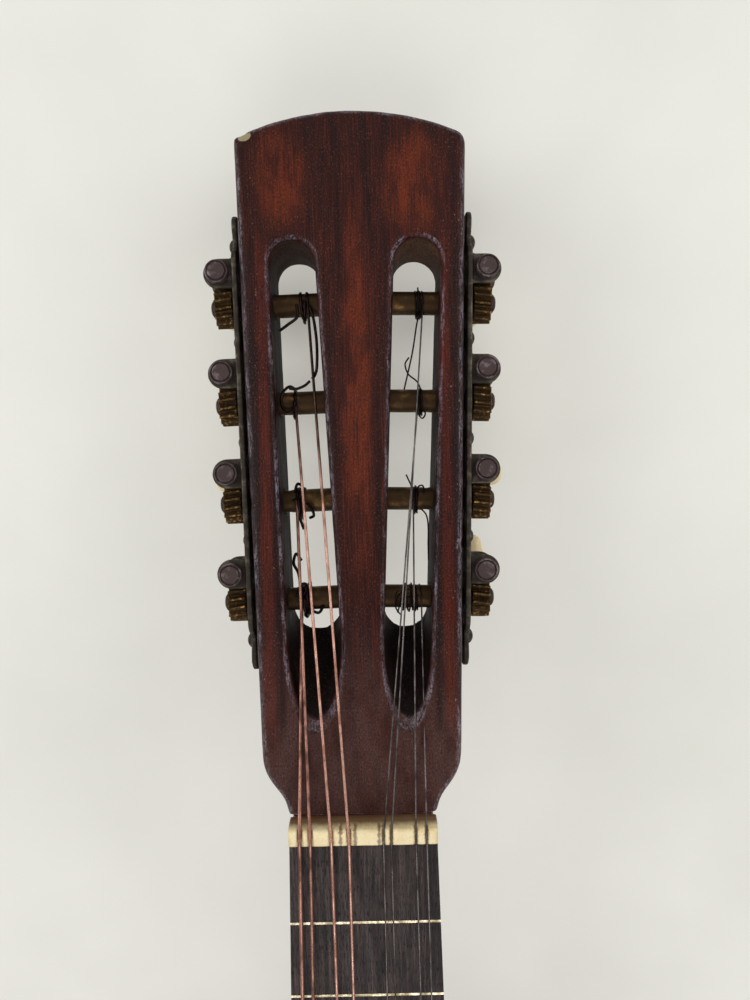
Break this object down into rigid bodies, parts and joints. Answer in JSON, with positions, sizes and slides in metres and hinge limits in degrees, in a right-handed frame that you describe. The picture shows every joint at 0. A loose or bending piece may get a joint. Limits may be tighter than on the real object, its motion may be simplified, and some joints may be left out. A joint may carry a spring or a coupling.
{
  "type": "charango",
  "caption": "Small Andean fretted string instrument with a slotted head, open worm-geared tuners, bone nut and paired metal strings over a flat-backed body.",
  "frame": {"origin": "under the middle of its length and width, on the plane that the back rests on", "axes": "+X to the treble side, +Y along the neck to the tip of the head, +Z out of the soundboard"},
  "size_m": [0.175, 0.5934, 0.0759],
  "materials": {
    "spruce": "satin varnished spruce",
    "inner_wood": "bare wood",
    "body_wood": "satin dark red-brown varnish",
    "binding_wood": "satin dark wood",
    "rosette_inlay": "satin inlaid wood",
    "bridge_wood": "satin dark wood",
    "bone": "polished bone, stained at the string slots",
    "fretboard_wood": "ebonised wood, worn satin",
    "fret_metal": "pale brass, worn bright",
    "neck_wood": "satin dark red-brown varnish",
    "head_wood": "worn dark red-brown varnish",
    "plate_metal": "tarnished dark olive-grey",
    "screw_steel": "tarnished",
    "shaft_steel": "tarnished",
    "wheel_brass": "dirty aged brass",
    "roller_brass": "aged brass",
    "button_ivory": "ivory coloured",
    "wound_string": "tarnished copper winding",
    "plain_string": "plain steel"
  },
  "bodies": {
    "root": {"back_braces": "inner_wood", "back_linings": "inner_wood", "back_plate": "body_wood", "bindings": "binding_wood", "bridge": "bridge_wood", "end_block": "inner_wood", "fretboard": "fretboard_wood", "frets": "fret_metal", "headstock": "head_wood", "heel_block": "inner_wood", "neck": "neck_wood", "nut": "bone", "plate_screws": "screw_steel", "rosette": "rosette_inlay", "saddle": "bone", "side_left": "body_wood", "side_right": "body_wood", "soundboard": "spruce", "string_pair_1": "wound_string", "string_pair_2": "wound_string", "string_pair_3": "plain_string", "string_pair_4": "plain_string", "top_braces": "inner_wood", "top_linings": "inner_wood", "tuner_plate_left": "plate_metal", "tuner_plate_right": "plate_metal"},
    "tuner_shaft_left_1": {"worm_shaft_left_1": "shaft_steel", "button_left_1": "button_ivory"},
    "string_roller_left_1": {"roller_left_1": "roller_brass", "worm_wheel_left_1": "wheel_brass"},
    "tuner_shaft_left_2": {"worm_shaft_left_2": "shaft_steel", "button_left_2": "button_ivory"},
    "string_roller_left_2": {"roller_left_2": "roller_brass", "worm_wheel_left_2": "wheel_brass"},
    "tuner_shaft_left_3": {"worm_shaft_left_3": "shaft_steel", "button_left_3": "button_ivory"},
    "string_roller_left_3": {"roller_left_3": "roller_brass", "worm_wheel_left_3": "wheel_brass"},
    "tuner_shaft_left_4": {"worm_shaft_left_4": "shaft_steel", "button_left_4": "button_ivory"},
    "string_roller_left_4": {"roller_left_4": "roller_brass", "worm_wheel_left_4": "wheel_brass"},
    "tuner_shaft_right_1": {"worm_shaft_right_1": "shaft_steel", "button_right_1": "button_ivory"},
    "string_roller_right_1": {"roller_right_1": "roller_brass", "worm_wheel_right_1": "wheel_brass"},
    "tuner_shaft_right_2": {"worm_shaft_right_2": "shaft_steel", "button_right_2": "button_ivory"},
    "string_roller_right_2": {"roller_right_2": "roller_brass", "worm_wheel_right_2": "wheel_brass"},
    "tuner_shaft_right_3": {"worm_shaft_right_3": "shaft_steel", "button_right_3": "button_ivory"},
    "string_roller_right_3": {"roller_right_3": "roller_brass", "worm_wheel_right_3": "wheel_brass"},
    "tuner_shaft_right_4": {"worm_shaft_right_4": "shaft_steel", "button_right_4": "button_ivory"},
    "string_roller_right_4": {"roller_right_4": "roller_brass", "worm_wheel_right_4": "wheel_brass"}
  },
  "joints": [
    {"name": "button_turn_left_1", "type": "hinge", "parent": "root", "child": "tuner_shaft_left_1", "pos_m": [-0.03086, 0.26064, 0.03145], "axis": [0, 0.2079, 0.9781], "continuous": true},
    {"name": "roller_turn_left_1", "type": "hinge", "parent": "root", "child": "string_roller_left_1", "pos_m": [-0.02518, 0.25403, 0.03285], "axis": [-0.9996, -0.0259, 0.0055], "continuous": true},
    {"name": "button_turn_left_2", "type": "hinge", "parent": "root", "child": "tuner_shaft_left_2", "pos_m": [-0.03025, 0.23815, 0.03623], "axis": [0, 0.2079, 0.9781], "continuous": true},
    {"name": "roller_turn_left_2", "type": "hinge", "parent": "root", "child": "string_roller_left_2", "pos_m": [-0.02457, 0.23154, 0.03763], "axis": [-0.9996, -0.0259, 0.0055], "continuous": true},
    {"name": "button_turn_left_3", "type": "hinge", "parent": "root", "child": "tuner_shaft_left_3", "pos_m": [-0.02964, 0.21566, 0.04101], "axis": [0, 0.2079, 0.9781], "continuous": true},
    {"name": "roller_turn_left_3", "type": "hinge", "parent": "root", "child": "string_roller_left_3", "pos_m": [-0.02396, 0.20906, 0.04241], "axis": [-0.9996, -0.0259, 0.0055], "continuous": true},
    {"name": "button_turn_left_4", "type": "hinge", "parent": "root", "child": "tuner_shaft_left_4", "pos_m": [-0.02903, 0.19317, 0.04579], "axis": [0, 0.2079, 0.9781], "continuous": true},
    {"name": "roller_turn_left_4", "type": "hinge", "parent": "root", "child": "string_roller_left_4", "pos_m": [-0.02335, 0.18657, 0.04719], "axis": [-0.9996, -0.0259, 0.0055], "continuous": true},
    {"name": "button_turn_right_1", "type": "hinge", "parent": "root", "child": "tuner_shaft_right_1", "pos_m": [0.03086, 0.26064, 0.03145], "axis": [0, 0.2079, 0.9781], "continuous": true},
    {"name": "roller_turn_right_1", "type": "hinge", "parent": "root", "child": "string_roller_right_1", "pos_m": [0.02518, 0.25403, 0.03285], "axis": [0.9996, -0.0259, 0.0055], "continuous": true},
    {"name": "button_turn_right_2", "type": "hinge", "parent": "root", "child": "tuner_shaft_right_2", "pos_m": [0.03025, 0.23815, 0.03623], "axis": [0, 0.2079, 0.9781], "continuous": true},
    {"name": "roller_turn_right_2", "type": "hinge", "parent": "root", "child": "string_roller_right_2", "pos_m": [0.02457, 0.23154, 0.03763], "axis": [0.9996, -0.0259, 0.0055], "continuous": true},
    {"name": "button_turn_right_3", "type": "hinge", "parent": "root", "child": "tuner_shaft_right_3", "pos_m": [0.02964, 0.21566, 0.04101], "axis": [0, 0.2079, 0.9781], "continuous": true},
    {"name": "roller_turn_right_3", "type": "hinge", "parent": "root", "child": "string_roller_right_3", "pos_m": [0.02396, 0.20906, 0.04241], "axis": [0.9996, -0.0259, 0.0055], "continuous": true},
    {"name": "button_turn_right_4", "type": "hinge", "parent": "root", "child": "tuner_shaft_right_4", "pos_m": [0.02903, 0.19317, 0.04579], "axis": [0, 0.2079, 0.9781], "continuous": true},
    {"name": "roller_turn_right_4", "type": "hinge", "parent": "root", "child": "string_roller_right_4", "pos_m": [0.02335, 0.18657, 0.04719], "axis": [0.9996, -0.0259, 0.0055], "continuous": true}
  ],
  "couplings": [
    {"joint": "roller_turn_left_1", "follows": "button_turn_left_1", "ratio": -0.071429},
    {"joint": "roller_turn_left_2", "follows": "button_turn_left_2", "ratio": -0.071429},
    {"joint": "roller_turn_left_3", "follows": "button_turn_left_3", "ratio": -0.071429},
    {"joint": "roller_turn_left_4", "follows": "button_turn_left_4", "ratio": -0.071429},
    {"joint": "roller_turn_right_1", "follows": "button_turn_right_1", "ratio": -0.071429},
    {"joint": "roller_turn_right_2", "follows": "button_turn_right_2", "ratio": -0.071429},
    {"joint": "roller_turn_right_3", "follows": "button_turn_right_3", "ratio": -0.071429},
    {"joint": "roller_turn_right_4", "follows": "button_turn_right_4", "ratio": -0.071429}
  ]
}
